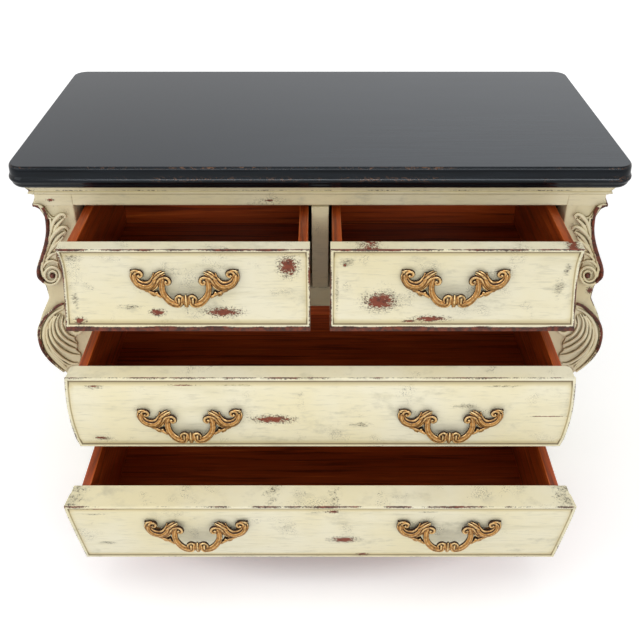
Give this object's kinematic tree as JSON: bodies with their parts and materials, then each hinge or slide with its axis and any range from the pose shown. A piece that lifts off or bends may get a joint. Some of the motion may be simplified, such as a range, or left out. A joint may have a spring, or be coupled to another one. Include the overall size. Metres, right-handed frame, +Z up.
{
  "type": "commode chest of drawers",
  "caption": "Painted wooden commode chest with carved scroll posts, gilt bail pulls, sliding drawers and a dark moulded top.",
  "frame": {"origin": "middle of the footprint of the chest with its drawers open, on the floor", "axes": "+X to the right seen from the front, +Y to the back, +Z up; the drawers open towards -Y"},
  "size_m": [1.2746, 0.9424, 0.87],
  "materials": {
    "black_top": "black lacquer, glossy",
    "cream_paint": "cream paint, rubbed at the edges, with a dark glaze",
    "front_paint": "cream paint, rubbed through to a red-brown coat",
    "drawer_wood": "mahogany stain under satin lacquer",
    "carcass_wood": "unfinished timber",
    "back_board": "unfinished board",
    "gilt_metal": "antique gold, dark in the hollows"
  },
  "bodies": {
    "carcass": {"top_slab": "black_top", "left_front_post": "cream_paint", "right_front_post": "cream_paint", "left_rear_post": "cream_paint", "right_rear_post": "cream_paint", "left_side_panel": "cream_paint", "right_side_panel": "cream_paint", "cornice_front": "cream_paint", "cornice_left": "cream_paint", "cornice_right": "cream_paint", "frieze_rail": "cream_paint", "upper_rail": "cream_paint", "lower_rail": "cream_paint", "centre_divider": "cream_paint", "front_apron": "cream_paint", "back_panel": "back_board", "back_top_rail": "carcass_wood", "upper_left_runner": "carcass_wood", "upper_right_runner": "carcass_wood", "middle_left_runner": "carcass_wood", "middle_right_runner": "carcass_wood", "bottom_left_runner": "carcass_wood", "bottom_right_runner": "carcass_wood", "upper_centre_runner": "carcass_wood", "upper_dust_panel": "carcass_wood", "middle_dust_panel": "carcass_wood", "bottom_dust_panel": "carcass_wood", "left_kicker": "carcass_wood", "centre_kicker": "carcass_wood", "right_kicker": "carcass_wood", "front_glue_block": "carcass_wood", "rear_glue_block": "carcass_wood"},
    "upper_left_drawer": {"upper_left_drawer_front": "front_paint", "upper_left_drawer_left_side": "drawer_wood", "upper_left_drawer_right_side": "drawer_wood", "upper_left_drawer_back": "drawer_wood", "upper_left_drawer_bottom": "drawer_wood", "upper_left_drawer_pull": "gilt_metal"},
    "upper_right_drawer": {"upper_right_drawer_front": "front_paint", "upper_right_drawer_left_side": "drawer_wood", "upper_right_drawer_right_side": "drawer_wood", "upper_right_drawer_back": "drawer_wood", "upper_right_drawer_bottom": "drawer_wood", "upper_right_drawer_pull": "gilt_metal"},
    "middle_drawer": {"middle_drawer_front": "front_paint", "middle_drawer_left_side": "drawer_wood", "middle_drawer_right_side": "drawer_wood", "middle_drawer_back": "drawer_wood", "middle_drawer_bottom": "drawer_wood", "middle_drawer_left_pull": "gilt_metal", "middle_drawer_right_pull": "gilt_metal"},
    "bottom_drawer": {"bottom_drawer_front": "front_paint", "bottom_drawer_left_side": "drawer_wood", "bottom_drawer_right_side": "drawer_wood", "bottom_drawer_back": "drawer_wood", "bottom_drawer_bottom": "drawer_wood", "bottom_drawer_left_pull": "gilt_metal", "bottom_drawer_right_pull": "gilt_metal"}
  },
  "joints": [
    {"name": "upper_left_drawer_slide", "type": "slide", "parent": "carcass", "child": "upper_left_drawer", "axis": [0, -1, 0], "range_m": [-0.156, 0.21]},
    {"name": "upper_right_drawer_slide", "type": "slide", "parent": "carcass", "child": "upper_right_drawer", "axis": [0, -1, 0], "range_m": [-0.156, 0.21]},
    {"name": "middle_drawer_slide", "type": "slide", "parent": "carcass", "child": "middle_drawer", "axis": [0, -1, 0], "range_m": [-0.228, 0.138]},
    {"name": "bottom_drawer_slide", "type": "slide", "parent": "carcass", "child": "bottom_drawer", "axis": [0, -1, 0], "range_m": [-0.346, 0.02]}
  ]
}
